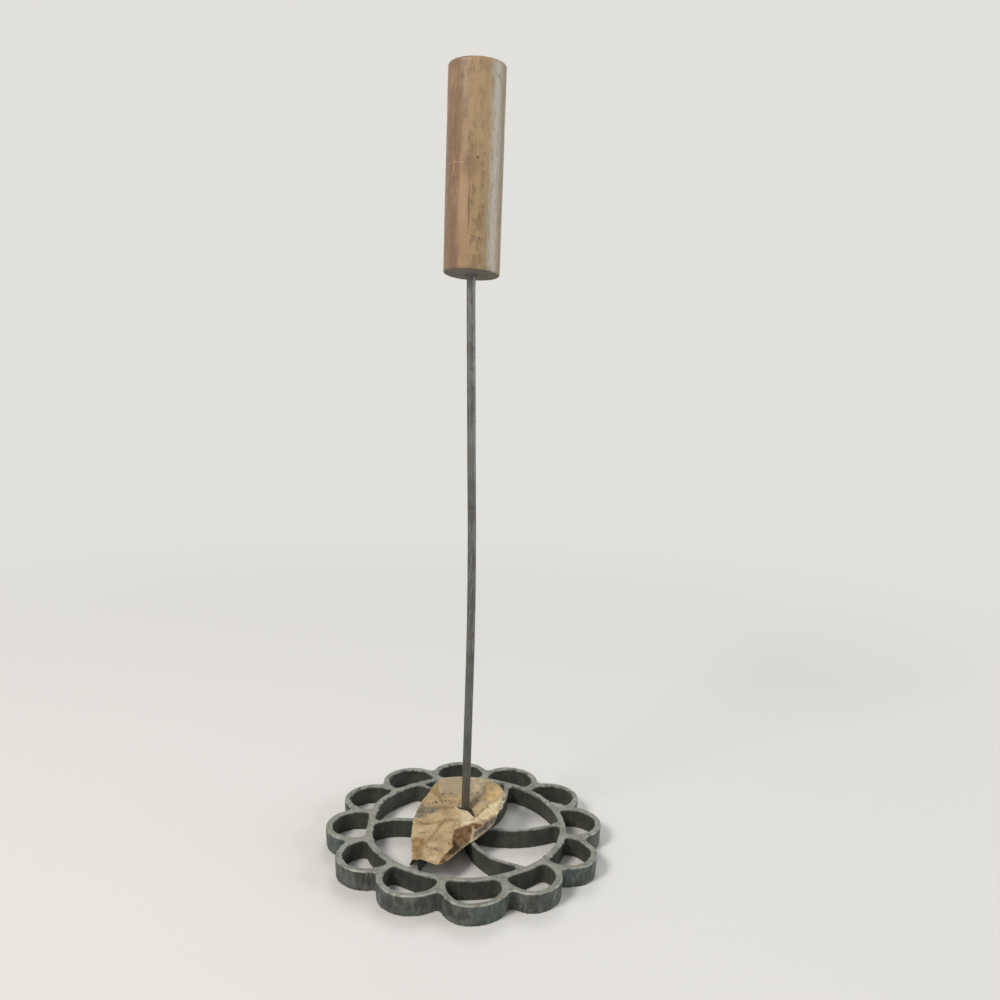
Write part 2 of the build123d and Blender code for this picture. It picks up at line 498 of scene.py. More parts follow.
def nicked(place, normal, level, rear_reach):
    """How deep a rim's nicks are at a place, as a share of rim_nicks."""
    if place.z <= casting_height - rim_depth or not rim_up_least < normal.z < rim_up_most:
        return 0.0
    worst = max(0.1, 0.5 + 1.6 * ripple(place, nick_patch, 5.0))
    facing_in = max(0.0, -place.dot(level)) / place.length
    worst += rear_nicks * facing_in * max(0.0, place.y) / rear_reach
    return max(0.0, ripple(place, nick_size, 7.0) + 0.05) * worst


def chipped(tree, place, normal, rear_reach):
    """How deep a chip is at a place, as a share of chip_depth: only rear windows have chips."""
    level = Vector((normal.x, normal.y, 0))
    on_rim = place.z > casting_height - rim_depth and normal.z > chip_up_least
    if not on_rim or level.length <= chip_level_least or place.y < 0 or place.dot(level) > 0:
        return 0.0
    level.normalize()
    start = Vector((place.x, place.y, casting_height / 2)) + level * chip_sight
    _, facing, _, _ = tree.ray_cast(start, level, window_reach)
    if facing is None or facing.dot(level) > 0:
        return 0.0
    faces_front = -place.dot(level) / place.length
    at_rear = min(1.0, 1.6 * place.y / rear_reach)
    depth = ripple(place, chip_size, 31.0) + 0.5 * ripple(place, 5 * chip_size, 35.0)
    return min(1.0, max(0.0, depth / chip_slope)) * faces_front * at_rear


def even_casting():
    """A piece with the solid casting's shape, in faces of even size."""
    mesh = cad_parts["rosette_casting"].data.copy()
    mesh.name = "cast_rosette"
    shape = bmesh.new()
    shape.from_mesh(mesh)
    bmesh.ops.remove_doubles(shape, verts=shape.verts, dist=weld_distance)
    shape.to_mesh(mesh)
    shape.free()
    piece = new_piece("cast_rosette", mesh, cast_aluminium())
    remesh = piece.modifiers.new("remesh", "REMESH")
    remesh.mode = "VOXEL"
    remesh.voxel_size = casting_voxel
    remesh.use_smooth_shade = True
    relax = piece.modifiers.new("relax", "SMOOTH")
    relax.factor = relax_share
    relax.iterations = relax_rounds
    applied(piece)
    return piece


def make_casting():
    piece = even_casting()
    mesh = piece.data
    shape = bmesh.new()
    shape.from_mesh(mesh)
    shape.normal_update()
    tree = BVHTree.FromBMesh(shape)
    rear_reach = max(vertex.co.y for vertex in shape.verts)
    lowest = min(vertex.co.z for vertex in shape.verts)
    ups, inners, moves = [], [], []
    for vertex in shape.verts:
        place, normal = vertex.co, vertex.normal
        level = Vector((normal.x, normal.y, 0))
        # Walls that look across a window at another wall are inner ones, which get a darker colour as
        # painted shade
        inner = 0.0
        if level.length > wall_level:
            level.normalize()
            start = place + level * sight_start + Vector((0, 0, -sight_drop))
            if tree.ray_cast(start, level, window_reach)[0] is not None:
                inner = 1.0
        push = wall_wander * ripple(place, wander_size)
        push += wall_grain * (1 + inner) * ripple(place, grain_size, 3.0)
        if inner:
            push += flash(place)
        if normal.z > face_up:
            push = min(push, face_rise)
        nick = nicked(place, normal, level, rear_reach) * (1 if inner else outer_nicks)
        chip = chipped(tree, place, normal, rear_reach)
        ups.append(0.0 if chip > chip_bare else normal.z)
        inners.append(1.0 if chip > chip_bare else inner)
        moves.append(normal * push + level * rim_nicks * nick + Vector((0, 0, -chip * chip_depth)))
    for vertex, move in zip(shape.verts, moves):
        vertex.co += move + unevenness(vertex.co)
        vertex.co.z = max(vertex.co.z, lowest)
    shape.to_mesh(mesh)
    shape.free()
    point_values(mesh, "up", ups)
    point_values(mesh, "inner", inners)
    mesh.shade_smooth()
    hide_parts("rosette_casting")
    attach(piece, "iron")


# Steel rod


def rod_middle(height):
    """How far the rod's middle is along X at that height."""
    bend = (rod_bend_end - rod_bend_start) / sin(rod_lean)
    turn = (rod_return_end - rod_return_start) / sin(rod_lean)
    bent = bend * (1 - cos(rod_lean))
    leant = bent + (rod_return_start - rod_bend_end) * tan(rod_lean)
    returned = leant + turn * (1 - cos(rod_lean))
    if height <= rod_bend_start:
        return 0.0
    if height <= rod_bend_end:
        return sqrt(bend**2 - (height - rod_bend_start) ** 2) - bend
    if height <= rod_return_start:
        return -bent - (height - rod_bend_end) * tan(rod_lean)
    if height <= rod_return_end:
        return turn - sqrt(turn**2 - (rod_return_end - height) ** 2) - returned
    return -returned


def steel():
    look = Look("dull_steel")
    streaks = look.cloud(0.8 * mm, 3, look.place((1, 1, 0.08)))
    patches = look.cloud(5 * mm, 4, look.place((1, 1, 0.35)))
    grain = look.cloud(0.5 * mm, 3)
    height = look.part(look.here, 2)
    colour = look.two_tone(patches, 0.35, 0.65, (92, 94, 91), (116, 118, 116))
    low = look.spread(height, 18 * mm, 48 * mm, 0.75, 0.0)
    colour = look.layered(colour, [
        (look.spread(streaks, 0.5, 0.75), 0.8, (146, 149, 148)),
        (look.spread(look.cloud(3 * mm, 4), 0.5, 0.66), 0.55, (98, 87, 73)),
        (look.spread(height, 60 * mm, 190 * mm, 1.0, 0.0), 0.35, (92, 95, 86)),
        (look.times(low, look.spread(grain, 0.35, 0.62)), 1.0, (104, 91, 70)),
    ])
    rough = look.spread(grain, 0.3, 0.7, 0.4, 0.62)
    bump = [(grain, 0.07 * mm), (streaks, 0.04 * mm), (patches, 0.12 * mm)]
    return look.finish(colour, rough, bump, 0.75)


def make_rod():
    rings = round((rod_top - rod_end_height) / rod_ring_gap)
    heights = [rod_end_height + (rod_top - rod_end_height) * ring / rings for ring in range(rings + 1)]
    profile = [(0, rod_end_height), *((rod_radius, height) for height in heights), (0, rod_top)]
    mesh = revolve("steel_rod", profile, rod_sides, 0.0)
    for vertex in mesh.vertices:
        place = vertex.co
        size = 1.0
        if place.z <= rod_return_end - rod_even_end:
            size += rod_dent * ripple(place, rod_dent_size)
            size += rod_fine_dent * ripple(place, rod_fine_dent_size, 4.0)
        wave = 0.0
        if rod_bend_start < place.z < rod_return_start:
            wave = rod_wave * noise.noise(Vector((0, 0, place.z / rod_wave_size)))
        middle = rod_middle(place.z) + wave
        vertex.co = Vector((middle + place.x * size, place.y * size, place.z))
    piece = new_piece("steel_rod", mesh, steel())
    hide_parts("rod")
    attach(piece, "iron")


# Wooden handle

# Scars in the wood: turn from +X in degrees, height above the base, width and
# height in millimetres, and how dark it is
scars = [
    (-87, 53.6, 0.9, 0.9, 0.85),
    (-80, 16, 1, 0.7, 0.6),
    (-84, 16.6, 2.6, 0.35, 0.5),
    (-45, 92, 1.1, 1.3, 0.7),
    (-41, 90.2, 0.5, 2.2, 0.4),
    (-86, 93.5, 0.9, 1.8, 0.3),
    (-122, 90.5, 0.9, 2, 0.35),
    (-125, 84, 0.8, 4, 0.35),
    (-102, 30, 0.4, 13, 0.6),
    (-96, 56, 0.7, 0.7, 0.45),
    (-150, 33, 0.8, 5, 0.35),
    (-78, 31, 2.4, 1.6, 0.3),
    (62, 70, 0.9, 1.2, 0.6),
    (110, 38, 0.5, 9, 0.5),
    (35, 18, 1.2, 1, 0.5),
    (150, 62, 0.7, 3, 0.4),
]


def wood(axis_x, radius):
    look = Look("worn_wood")
    here = look.vector("SUBTRACT", look.here, (axis_x, 0, handle_base))
    height = look.part(here, 2)
    bow = look.cloud(26 * mm, 2, look.place((1, 1, 0.4), where=here))
    sideways = look.node("CombineXYZ", {0: look.swing(bow, 12 * mm)}).outputs[0]
    grainwise = look.vector("ADD", here, sideways)
    broad = look.cloud(5 * mm, 3, look.place((1, 1, 0.2), where=grainwise))
    fibres = look.cloud(1.1 * mm, 4, look.place((1, 1, 0.1), where=grainwise), roughness=0.6)
    flecks = look.cloud(0.8 * mm, 3, look.place((1, 1, 0.35), where=grainwise))
    mottled = look.cloud(4.5 * mm, 5, look.place((1, 1, 0.55), where=here), roughness=0.6)
    frayed = look.cloud(1.6 * mm, 5, look.place((1, 1, 0.25), where=here), roughness=0.7)
    ragged = look.swing(frayed, 0.34)

    def side(turn, low, high):
        """1 on the side of the handle that faces turn, with ragged edges."""
        faced = look.times(look.number("DOT_PRODUCT", here, level_direction(turn)), 1 / radius)
        return look.spread(look.calc("ADD", faced, ragged), low, high)

    def mark(turn, above, across, tall, soft=0.3):
        """1 on a mark that is across wide and tall high, at a turn and a height above the base."""
        point = (radius * cos(radians(turn)), radius * sin(radians(turn)), above * mm)
        away = look.vector("SUBTRACT", here, point)
        distance = look.number("LENGTH", look.vector("MULTIPLY", away, (1, 1, across / tall)))
        distance = look.calc("ADD", distance, look.swing(flecks, across * mm))
        return look.spread(distance, across * mm / 2, (across / 2 + soft) * mm, 1.0, 0.0)

    dashes = look.cells(1.5 * mm, look.place((1, 1, 0.22), where=grainwise))
    dashes = look.times(look.spread(dashes, 0.1, 0.3, 1.0, 0.0), look.spread(mottled, 0.4, 0.6))
    olive = look.times(side(-62, 0.9, 1.03), look.spread(height, 20 * mm, 50 * mm, 1.0, 0.25))
    wear_and_sheen_strip = look.two_tone(frayed, 0.36, 0.66, (196, 186, 171), (166, 152, 132))
    colour = look.two_tone(broad, 0.36, 0.64, (122, 95, 69), (146, 117, 85))
    colour = look.layered(colour, [
        # The left side darker and the front right lighter: painted shade and light
        (side(-158, 0.3, 1.1), 0.6, (120, 92, 74)),
        (side(-66, 0.45, 0.98), 0.75, (178, 150, 112)),
        (look.spread(mottled, 0.48, 0.62), 0.6, (118, 93, 68)),
        (look.spread(mottled, 0.44, 0.32), 0.5, (168, 134, 96)),
        (look.spread(fibres, 0.5, 0.7), 0.4, (176, 145, 106)),
        (look.spread(fibres, 0.46, 0.32), 0.4, (108, 82, 56)),
        (dashes, 0.55, (104, 76, 50)),
        (look.spread(flecks, 0.6, 0.72), 0.45, (108, 80, 54)),
        (olive, 0.55, (137, 127, 88)),
        # The right side greyer: partly grey wear and partly a painted sheen
        (side(-24, 0.72, 0.92), 0.7, (138, 124, 99)),
        (mark(-72, 82, 10, 30, 5), 0.35, (180, 153, 116)),
        # A pale strip and a greyer edge on the right: partly wear and partly a painted sheen
        (side(-47, 0.93, 1.0), 0.9, wear_and_sheen_strip),
        (side(-14, 0.86, 0.98), 0.4, (136, 120, 92)),
        (mark(-116, 24, 2.0, 30, 2.5), 0.45, (184, 150, 114)),
        (mark(-128, 51.6, 16, 0.5, 0.7), 0.28, (190, 164, 130)),
        (mark(-140, 12, 8, 20, 4), 0.45, (118, 89, 74)),
        (mark(-102, 49.5, 4, 5, 4), 0.45, (112, 86, 58)),
    ])
    colour = look.layered(colour, [(mark(*scar), dark, (80, 58, 38)) for *scar, dark in scars])

    # The bare ends, with growth rings, darker: partly grime and partly painted shade under the handle
    from_pith = look.number("DISTANCE", look.vector("MULTIPLY", here, (1, 1, 0)), pith)
    wavy = look.calc("ADD", from_pith, look.swing(bow, 5 * mm))
    rings = look.calc("SINE", look.times(wavy, 2 * pi / growth_ring))
    grimy_and_shaded_ends = look.two_tone(mottled, 0.4, 0.65, (104, 99, 85), (88, 83, 71))
    grimy_and_shaded_ends = look.layered(grimy_and_shaded_ends, [(look.spread(rings, -0.2, 0.9), 0.4, (70, 61, 48))])
    end = look.attribute("end")

    rough = look.spread(fibres, 0.3, 0.7, 0.5, 0.34)
    rough = look.calc("ADD", rough, look.times(end, 0.45))
    bump = [(fibres, 0.1 * mm), (flecks, -0.06 * mm), (mottled, 0.1 * mm)]
    return look.finish(look.mix(end, colour, grimy_and_shaded_ends), rough, bump)


def sawn_height(x, y, axis_x):
    """How far the sawn lower end lies above or below the handle's base."""
    downhill = (x - axis_x) * cos(handle_cut_direction) + y * sin(handle_cut_direction)
    return -downhill * tan(handle_cut)


def handle_profile(radius, base, top):
    """Half of the handle's section: up the bore, out over the lower end, up the side and in again."""
    first, last = base + handle_bottom_rounding, top - handle_top_rounding
    bore = [base + bore_depth * step / bore_rings for step in range(bore_rings, 0, -1)]
    sides = [first + (last - first) * step / handle_rings for step in range(1, handle_rings)]
    profile = [(0, base + bore_depth + bore_point), *((bore_radius, height) for height in bore)]
    profile += [(bore_radius, base + bore_chamfer), (bore_radius + bore_chamfer, base)]
    profile += [(radius * share, base) for share in lower_end_rings]
    profile += quarter_arc(radius - handle_bottom_rounding, first, handle_bottom_rounding, 270)
    profile += [(radius, height) for height in sides]
    profile += quarter_arc(radius - handle_top_rounding, last, handle_top_rounding, 0)
    profile += [(radius * share, top) for share in upper_end_rings]
    return [*profile, (0, top)]


def make_handle():
    low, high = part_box("handle")
    base, top = handle_base, high.z
    radius = (high.x - low.x) / 2
    axis_x = (high.x + low.x) / 2
    mesh = revolve("wood_handle", handle_profile(radius, base, top), handle_sides, axis_x)
    ends = []
    for vertex in mesh.vertices:
        place = vertex.co
        level = Vector((place.x - axis_x, place.y, 0))
        lower = max(0.0, 1 - (place.z - base) / lower_end_reach)
        upper = max(0.0, 1 - (top - place.z) / upper_end_reach)
        in_bore = level.length < bore_reach * bore_radius
        ends.append(1.0 if in_bore else max(lower, upper_end_share * upper))
        fade = max(0.0, 1 - (place.z - base) / handle_cut_fade)
        place.z += fade * sawn_height(place.x, place.y, axis_x)
        if level.length > dented_from * radius:
            dent = ripple(place, handle_dent_size, 2.0)
            dent += handle_fine_dents * ripple(place, handle_fine_dent_size, 9.0)
            vertex.co += level.normalized() * handle_dents * (dent - handle_dent_depth)
    point_values(mesh, "end", ends)
    piece = new_piece("wood_handle", mesh, wood(axis_x, radius))
    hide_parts("handle")
    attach(piece, "iron")


# Paper label: its corners in millimetres, as points of a crumpled
# sheet. The edge runs round from the tip on the ring, and the slit goes round
# the rod. Folds are chains of corners; a crest is sharper than a valley.
edge = {
    "tip": (-30.5, -43, 11.5),
    "curl": (-29.5, -41.5, 13),
    "left_foot": (-29, -38, 14),
    "left_low": (-29.5, -27, 13.5),
    "left_mid": (-29.5, -19, 14.5),
    "left_high": (-29, -12.5, 15.5),
    "left_bend": (-28.5, -6, 16.5),
    "left_turn": (-27, 0.5, 17.5),
    "left_rise": (-25, 6, 19.5),
    "left_slope": (-20.5, 11, 22.5),
    "left_peak": (-18, 13.5, 25.5),
    "notch": (-15.5, 15, 28),
    "rear_left": (-12, 18, 28.5),
    "rear_mid_left": (-7, 18.5, 29),
    "rear_mid": (-1.5, 18.5, 29),
    "rear_nick": (4, 17.5, 29),
    "rear_mid_right": (10, 17.5, 28.5),
    "rear_right": (15, 17, 27.5),
    "right_top": (18.5, 15.5, 26.5),
    "right_upper": (21, 13, 25),
    "right_far": (22.5, 9.5, 23.5),
    "right_out": (23, 6, 22.5),
    "right_in": (21.5, 1.5, 21.5),
    "right_low": (19.5, -3.5, 20.5),
    "right_fold": (17, -8.5, 20),
    "flap_right": (16, -11, 17.5),
    "flap_out": (13.5, -13.5, 15.5),
    "flap_mid": (9.5, -16.5, 13.5),
    "flap_spoke": (5.5, -19, 12),
    "flap_rest": (1.5, -22, 11.5),
    "flap_low": (-3, -28, 11.5),
    "flap_left": (-8, -35, 11.5),
    "flap_turn": (-10.5, -39, 12),
    "flap_end": (-13, -42, 12),
    "front_low": (-15.5, -43, 12),
    "front_fold": (-18, -42.5, 12),
    "arch_right": (-20.5, -41.5, 12.5),
    "arch_rise": (-23, -42.5, 14.5),
    "arch_top": (-25, -42.5, 15),
    "arch_fall": (-26.5, -41.5, 14),
    "arch_left": (-28, -42.5, 11.5),
}
slit = {
    "slit_left": (-5, 1.5, 19.5),
    "lip_left": (-3.5, -3, 20),
    "lip_mid": (0, -4.5, 21),
    "lip_right": (1.5, -7.5, 21),
    "lip_end": (3, -10, 20.5),
    "slit_right": (4.5, -11.5, 20),
    "hem_right": (4.5, -7, 18.5),
    "hem_side": (4, -1.5, 18.5),
    "hem_corner": (2.8, 2, 18.8),
    "hem_rear": (0, 3, 19),
    "hem_left": (-3, 2, 19),
}
inside = {
    "fold_right": (13, -12, 20),
    "fold_mid": (9.5, -14.5, 20),
    "fold_start": (6, -14.5, 20.5),
    "crest_start": (2.5, -16, 19.7),
    "crest_high": (-2.5, -19, 19.5),
    "crest_turn": (-7, -21, 19),
    "crest_mid": (-8, -27, 17.5),
    "crest_low": (-8.5, -32, 15.5),
    "crest_foot": (-11, -36, 14),
    "crest_end": (-14.5, -39.5, 13),
    "ridge_top": (3.5, -18, 17.5),
    "ridge_foot": (2.5, -20.5, 13),
    "brow_left": (-22.5, -9.5, 15.3),
    "brow_mid": (-18, -10.5, 15.7),
    "brow_right": (-14, -10, 17),
    "step_left": (-22.5, -12.5, 16.8),
    "step_mid": (-17.5, -13.5, 17.3),
    "valley_top": (-11.5, -8.5, 17.5),
    "valley_high": (-16, -16.5, 15.5),
    "valley_mid": (-20, -23, 14.5),
    "valley_low": (-24, -30.5, 13.5),
    "swell": (-12, -25, 17.5),
    "swell_low": (-16.5, -33.5, 15.5),
    "left_swell": (-25.5, -20, 15.5),
    "lap": (-5, -11, 20),
    "crease_top": (-15.5, 11.5, 25.6),
    "crease_mid": (-14, 6.5, 22.6),
    "crease_foot": (-13.5, 1, 19.5),
    "bend_left": (-22.5, 2, 18),
    "bend_right": (-7.5, 1, 19),
    "wing_top": (13, 14.5, 27),
    "wing_high": (11, 9.5, 24.8),
    "wing_mid": (8.5, 5, 22.3),
    "wing_low": (7, -3.5, 19.3),
    "wing_out": (16, 3, 21.5),
    "hollow": (-5.5, 9, 23.5),
    "arch_brow": (-28.5, -41.5, 14.5),
    "shade_mid": (5.5, -15.5, 19.5),
    "shade_tip": (9, -16, 19.5),
    "dip": (10, -2, 19.8),
    "dip_end": (14, 1.5, 20.8),
    "lobe": (13, -7.5, 21.5),
    "torn_high": (21, 7, 22.5),
    "torn_low": (18, -3, 21),
    "deep_side": (-1.5, -27.5, 14.5),
    "deep_foot": (-8.5, -36, 13),
}


def named(*chains):
    """Chains of corners, each given as names with a space between."""
    return [chain.split() for chain in chains]


crests = named(
    "right_fold fold_right fold_mid fold_start crest_start crest_high crest_turn crest_mid crest_low "
    "crest_foot crest_end front_low",
    "curl arch_brow arch_fall",
    "notch crease_top crease_mid crease_foot",
    "left_high step_left step_mid valley_top",
    "crest_start ridge_top ridge_foot flap_spoke",
)
valleys = named(
    "valley_top valley_high valley_mid valley_low arch_top",
    "left_bend brow_left brow_mid brow_right valley_top",
    "wing_top wing_high wing_mid wing_low slit_right",
    "left_turn bend_left crease_foot bend_right slit_left",
    "slit_right fold_start",
    "slit_right dip dip_end",
)
# Parts of the sheet that look different: how softly they start, two colours, and
# a loop of corners. A later one lies over an earlier one. The lit zones are painted
# light; the margin, low left, shade, turned and deep shade zones are painted shade.
zones = {
    "golden": (0.8, (130, 112, 72), (158, 137, 92), (
        "notch left_peak left_slope crease_mid crease_top"
    )),
    # A grey band along the left fold: painted shade
    "fold_shaded_margin": (1.8, (106, 99, 83), (132, 122, 103), (
        "left_rise left_turn left_bend bend_right crease_foot"
    )),
    "rear_pale": (2.0, (160, 146, 119), (188, 172, 142), (
        "rear_nick rear_mid_right rear_right wing_top wing_high wing_mid hem_corner"
    )),
    "lit_step": (1.3, (168, 145, 110), (190, 168, 132), (
        "left_high step_left step_mid valley_high left_swell left_mid"
    )),
    # The slope left of the valley is darker: painted shade
    "low_left": (1.5, (134, 106, 68), (160, 132, 92), (
        "left_low left_mid valley_mid valley_low arch_top arch_brow curl left_foot"
    )),
    "lit_front": (3.0, (162, 139, 102), (196, 174, 136), (
        "valley_low swell_low crest_foot crest_end front_low front_fold arch_right arch_top"
    )),
    "right_lobe": (1.5, (186, 156, 108), (210, 180, 132), (
        "wing_top right_top right_upper right_far torn_high dip_end wing_mid wing_high"
    )),
    "low_lobe": (1.5, (198, 179, 136), (221, 204, 165), (
        "dip dip_end torn_high torn_low right_low right_fold fold_right fold_mid slit_right"
    )),
    "torn": (0.6, (120, 112, 96), (196, 188, 170), (
        "right_far right_out right_in right_low right_fold torn_low torn_high"
    )),
    "lit_lip": (4.0, (198, 178, 142), (220, 204, 170), (
        "slit_left lip_left lip_mid lip_right lip_end slit_right fold_mid shade_tip ridge_foot "
        "deep_side crest_turn lap"
    )),
    "shade": (0.3, (98, 70, 42), (138, 108, 74), (
        "crest_start crest_high crest_turn crest_mid crest_low crest_foot flap_left flap_low "
        "flap_rest ridge_foot ridge_top shade_tip shade_mid"
    )),
    "back": (0.3, (92, 86, 78), (134, 125, 114), (
        "shade_tip fold_mid fold_right right_fold flap_right flap_out flap_mid flap_spoke ridge_foot "
        "ridge_top"
    )),
    # The strip turned down under the crest is dark: painted shade
    "turned": (0.3, (84, 58, 32), (136, 108, 72), (
        "crest_low crest_foot crest_end front_low flap_end flap_turn flap_left"
    )),
    "deep_shade": (0.9, (52, 35, 18), (80, 57, 32), (
        "crest_mid crest_low crest_foot crest_end deep_foot deep_side"
    )),
}
# The tip's curl, darkened as a painted shadow in the arch's hollow
arch_shade = "tip curl arch_brow arch_fall arch_left"
# Folds whose hollow gets painted shade, and ridges that get a painted highlight
shaded_folds = named(
    "valley_top valley_high valley_mid valley_low arch_top",
    "left_bend brow_left brow_mid brow_right",
    "bend_left crease_foot bend_right slit_left",
    "notch crease_top crease_mid",
    "slit_right dip",
    "hem_side hem_right slit_right",
)
highlit_ridges = named(
    "slit_left lip_left lip_mid lip_right lip_end slit_right fold_start",
    "ridge_top ridge_foot",
)
# Rows of small blurred marks: x and y of the start, turn in degrees and length
mark_rows = [
    (-13.5, 8.5, 0, 9),
    (3, 8.5, 0, 5),
    (-20.5, 4.5, 0, 18),
    (3, 4, 0, 11),
    (-27, -0.5, 0, 17),
    (11.5, -0.5, 0, 5),
    (-28, -9, 0, 8),
    (-28.5, -18.5, 0, 9),
    (-28.5, -24.5, 0, 4.5),
    (-12, -8, -36, 9),
    (-13, -19.5, -42, 6),
    (-17.5, -24, -50, 5),
    (-12.5, -28, -42, 5),
    (-22, -29, -38, 10),
]
corners = {**edge, **slit, **inside}


def closed(names):
    """A chain of names that comes back to its first one."""
    return [*names, next(iter(names))]


def places(names):
    """The corners that a chain of names runs through."""
    return [corners[name] for name in names]


def inside_loop(point, loop):
    """Whether a point is inside a closed outline, by counting the sides to its right."""
    found = False
    for (ax, ay, _), (bx, by, _) in zip(loop, loop[1:] + loop[:1]):
        if (ay > point.y) != (by > point.y) and point.x < ax + (bx - ax) * (point.y - ay) / (by - ay):
            found = not found
    return found


def distance_to_chain(point, chain):
    """How far a point is from the nearest side of a chain of corners, seen from above."""
    nearest = inf
    for (ax, ay, _), (bx, by, _) in zip(chain, chain[1:]):
        side = Vector((bx - ax, by - ay))
        along = max(0.0, min(1.0, (point - Vector((ax, ay))).dot(side) / side.length_squared))
        nearest = min(nearest, (point - Vector((ax, ay)) - along * side).length)
    return nearest


def zone_depth(point, names, soft):
    """0 at a zone's sides and 1 once soft inside them, where sides on the sheet's edges don't count."""
    if not inside_loop(point, places(names)):
        return 0.0
    sides = zip(names, closed(names)[1:])
    sides = [side for side in sides if not (set(side) <= set(edge) or set(side) <= set(slit))]
    nearest = min(distance_to_chain(point, places(side)) for side in sides)
    return min(1.0, nearest / soft)


def marks(look):
    """1 on the small blurred marks that stand in rows on the sheet."""
    found = 0.0
    for x, y, turn, length in mark_rows:
        start = look.vector("SUBTRACT", look.here, (x * mm, y * mm, 0))
        along = look.number("DOT_PRODUCT", start, level_direction(turn))
        across = look.number("DOT_PRODUCT", start, level_direction(turn + 90))
        flat = look.node("CombineXYZ", {0: along, 1: across, 2: x * mm}).outputs[0]
        blots = look.spread(look.cells(mark_size, flat), 0.3, 0.5, 1.0, 0.0)
        band = look.calc("ABSOLUTE", across)
        band = look.spread(band, 0.2 * mark_height, 0.5 * mark_height, 1.0, 0.0)
        begun = look.spread(along, 0, mark_fade)
        going_on = look.spread(along, length * mm - mark_fade, length * mm, 1.0, 0.0)
        row = look.times(look.times(band, look.times(begun, going_on)), blots)
        found = look.calc("MAXIMUM", found, row)
    return found


def label_paper():
    look = Look("label_paper", Specular_IOR_Level=0.2)
    patches = look.cloud(9 * mm, 3)
    blotches = look.cloud(5 * mm, 4, roughness=0.6)
    fibre = look.cloud(0.5 * mm, 3)
    stains = look.cloud(3 * mm, 4, look.place(shift=(0.02, 0.01, 0)))
    rear = look.spread(look.part(look.here, 1), -2 * mm, 7 * mm)
    greyed = look.spread(look.cloud(8 * mm, 3, look.place((1, 0.5, 1))), 0.4, 0.56)
    colour = look.two_tone(patches, 0.36, 0.64, (158, 134, 99), (187, 164, 126))
    colour = look.layered(colour, [
        (look.times(rear, greyed), 0.8, (154, 142, 120)),
        (look.spread(blotches, 0.48, 0.66), 0.5, (160, 130, 90)),
        (look.spread(fibre, 0.5, 0.75), 0.4, (208, 186, 146)),
        # Fold hollows are darker: painted shade
        (look.attribute("folded"), 0.7, (122, 94, 62)),
    ])
    for zone, (_, dark, pale, _) in zones.items():
        colour = look.mix(look.attribute(zone), colour, look.two_tone(stains, 0.36, 0.64, dark, pale))

    # Painted highlights along the ridges and the sheet's rim
    ridge_highlight = look.times(look.attribute("ridge"), look.spread(stains, 0.3, 0.5, 0.6, 1.0))
    rim = look.times(look.attribute("rim"), look.spread(stains, 0.35, 0.55, 0.3, 1.0))
    # The marks are on the upper side only, and worn
    upper = look.spread(look.part(look.node("TexCoord").outputs["Normal"], 2), 0.0, 0.2)
    faded = look.spread(look.cloud(4 * mm, 2), 0.3, 0.6, 0.55, 0.95)
    inked = look.times(look.times(marks(look), upper), faded)
    colour = look.layered(colour, [
        (ridge_highlight, 0.6, (226, 208, 174)),
        (inked, 1.0, (66, 56, 46)),
        (rim, 0.6, (206, 190, 156)),
        # Painted shadow in the arch's hollow
        (look.attribute("arch_hollow_shadow"), 1.0, (34, 26, 17)),
    ])
    rough = look.spread(fibre, 0.3, 0.7, 0.62, 0.8)
    bump = [(fibre, 0.04 * mm), (stains, 0.12 * mm), (blotches, 0.25 * mm)]
    return look.finish(colour, rough, bump)


def folded_sheet():
    """A thin piece whose faces join the corners, bent along its folds."""
    names = list(corners)
    chains = [closed(edge), closed(slit), *crests, *valleys]
    sides = [(names.index(a), names.index(b)) for chain in chains for a, b in zip(chain, chain[1:])]
    flat = [Vector(corners[name][:2]) for name in names]
    points, _, triangles, origins, _, _ = delaunay_2d_cdt(flat, sides, [], 0, same_place)
    shape = bmesh.new()
    verts = [shape.verts.new(Vector(corners[names[old[0]]]) * mm) for old in origins]
    for triangle in triangles:
        middle = sum((points[i] for i in triangle), Vector((0, 0))) / 3
        if inside_loop(middle, places(edge)) and not inside_loop(middle, places(slit)):
            shape.faces.new([verts[i] for i in triangle])
    where = {names[old[0]]: vert for old, vert in zip(origins, verts)}
    sharpness = shape.edges.layers.float.new("crease_edge")
    for folds, value in ((crests, crest_sharpness), (valleys, valley_sharpness)):
        for a, b in (pair for chain in folds for pair in zip(chain, chain[1:])):
            fold = shape.edges.get((where[a], where[b]))
            if fold is not None:
                fold[sharpness] = value
    bmesh.ops.recalc_face_normals(shape, faces=shape.faces)
    if sum(face.normal.z for face in shape.faces) < 0:
        bmesh.ops.reverse_faces(shape, faces=shape.faces)
    mesh = bpy.data.meshes.new("paper_scrap")
    shape.to_mesh(mesh)
    shape.free()
    piece = new_piece("paper_scrap", mesh, label_paper())
    folding = piece.modifiers.new("folding", "SUBSURF")
    folding.levels = paper_fold_levels
    folding.render_levels = paper_fold_levels
    applied(piece)
    return piece


def crumpled(place):
    """How far the sheet is crumpled at a place, as a share of paper_crumple."""
    near, next_near = noise.voronoi(place / wrinkle_size)[0][:2]
    bumps = 0.5 * ripple(place, crumple_size)
    return (next_near - near) * 0.6 + bumps + 0.2 * ripple(place, fine_crumple_size, 6.0) - 0.3


def level_ripple(place, size, offset):
    """Noise that moves a place sideways both ways."""
    return Vector((ripple(place, size, offset), ripple(place, size, offset + 4), 0))


